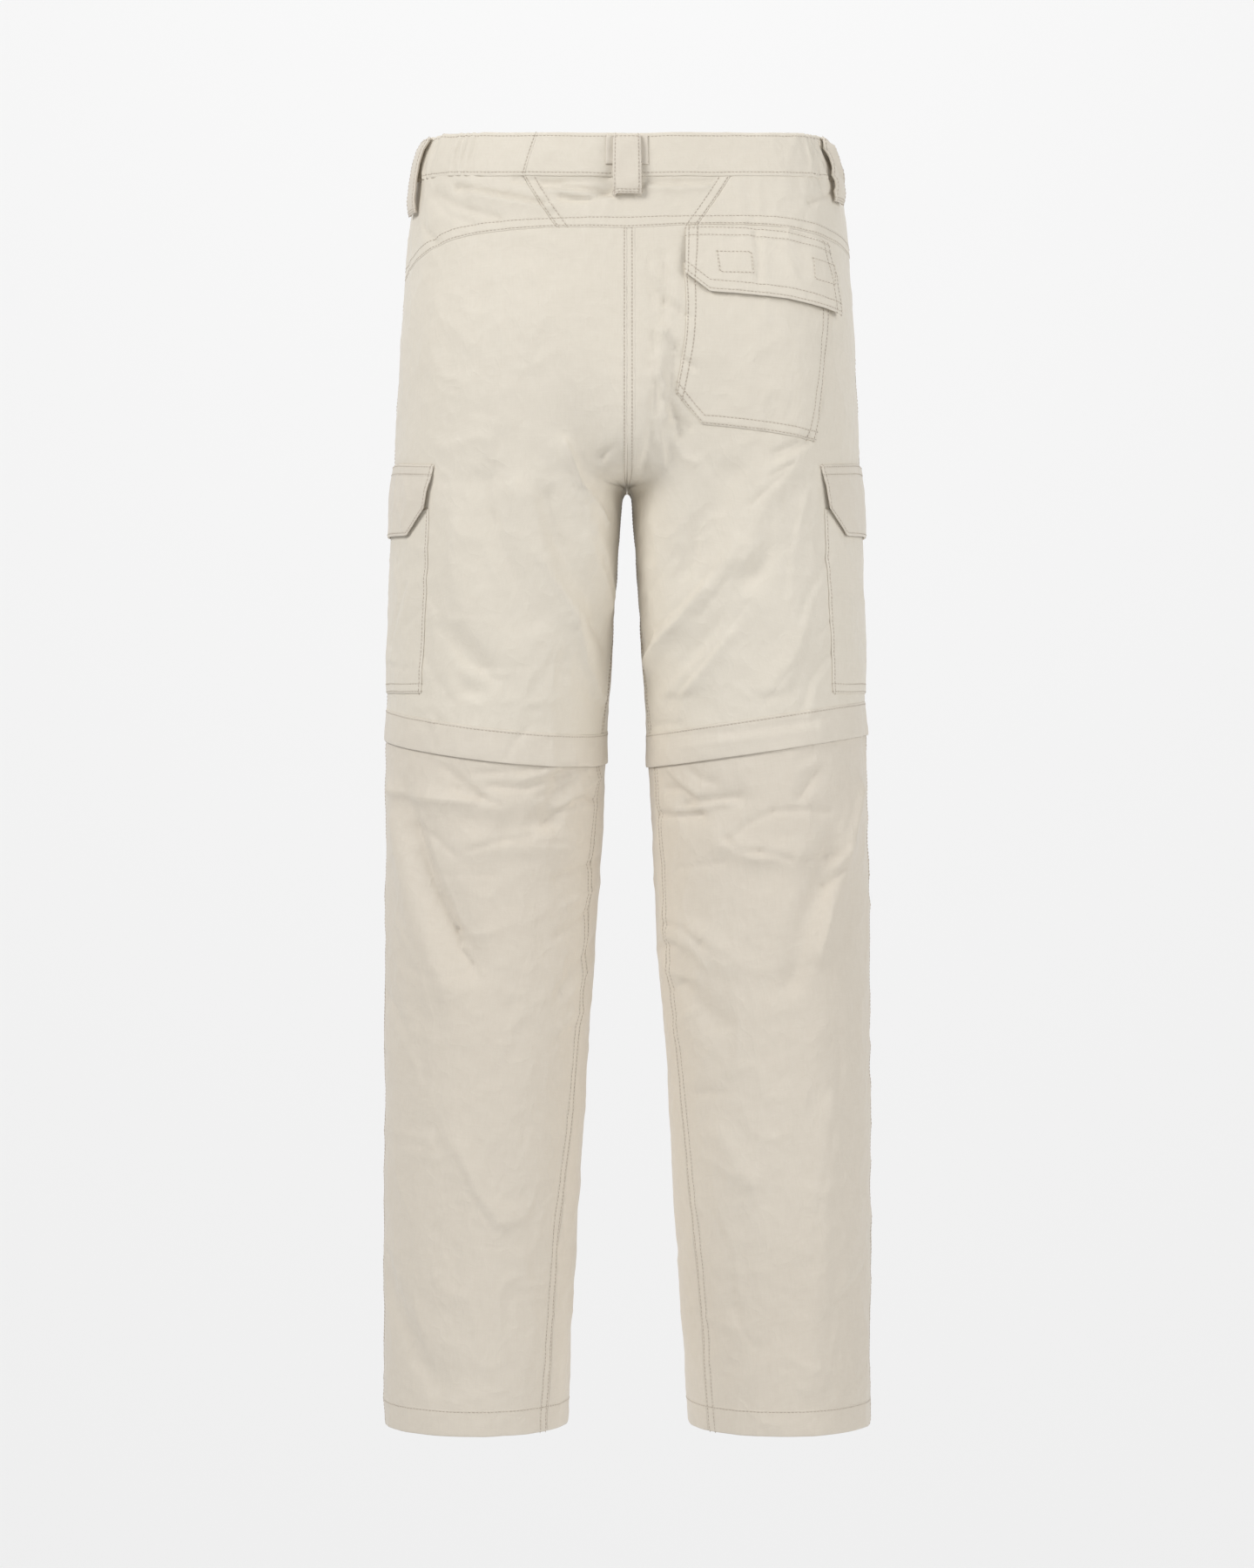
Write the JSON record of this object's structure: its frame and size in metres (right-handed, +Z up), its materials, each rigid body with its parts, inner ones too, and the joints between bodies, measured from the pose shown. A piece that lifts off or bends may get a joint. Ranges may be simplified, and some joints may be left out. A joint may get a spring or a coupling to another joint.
{
  "type": "outdoor trousers",
  "caption": "Zip-off outdoor trousers with an elasticated waistband, belt loops, a back pocket with flap, cargo pockets and covered knee zips, filled out as worn.",
  "frame": {"origin": "middle of the waist opening, halfway up the waistband", "axes": "+Z up, +X to the wearer's left, the front of the trousers faces -Y and the back +Y"},
  "size_m": [0.408, 0.2689, 1.0665],
  "materials": {
    "cloth": "light beige nylon plain weave, thin and crisp, with a soft sheen",
    "lower_cloth": "the same beige cloth, a shade darker on the zip-off legs",
    "trim": "the same beige cloth, doubled and topstitched",
    "button": "brown sewn button with a soft shine"
  },
  "bodies": {
    "root": {"waistband_left": "cloth", "waistband_right": "cloth", "yoke_centre": "cloth", "yoke_left": "cloth", "yoke_right": "cloth", "upper_back_left": "cloth", "upper_back_right": "cloth", "upper_front_left": "cloth", "upper_front_right": "cloth", "fly_flap": "cloth", "back_pocket": "cloth", "back_pocket_flap": "cloth", "cargo_pocket_left": "cloth", "cargo_pocket_right": "cloth", "cargo_flap_left": "cloth", "cargo_flap_right": "cloth", "lower_back_left": "lower_cloth", "lower_back_right": "lower_cloth", "lower_front_left": "lower_cloth", "lower_front_right": "lower_cloth", "zip_cover_left": "trim", "zip_cover_right": "trim", "loop_back_centre": "trim", "loop_back_tab": "trim", "loop_side_left": "trim", "loop_side_right": "trim", "loop_front_left": "trim", "loop_front_right": "trim", "waist_button": "button"}
  },
  "joints": []
}
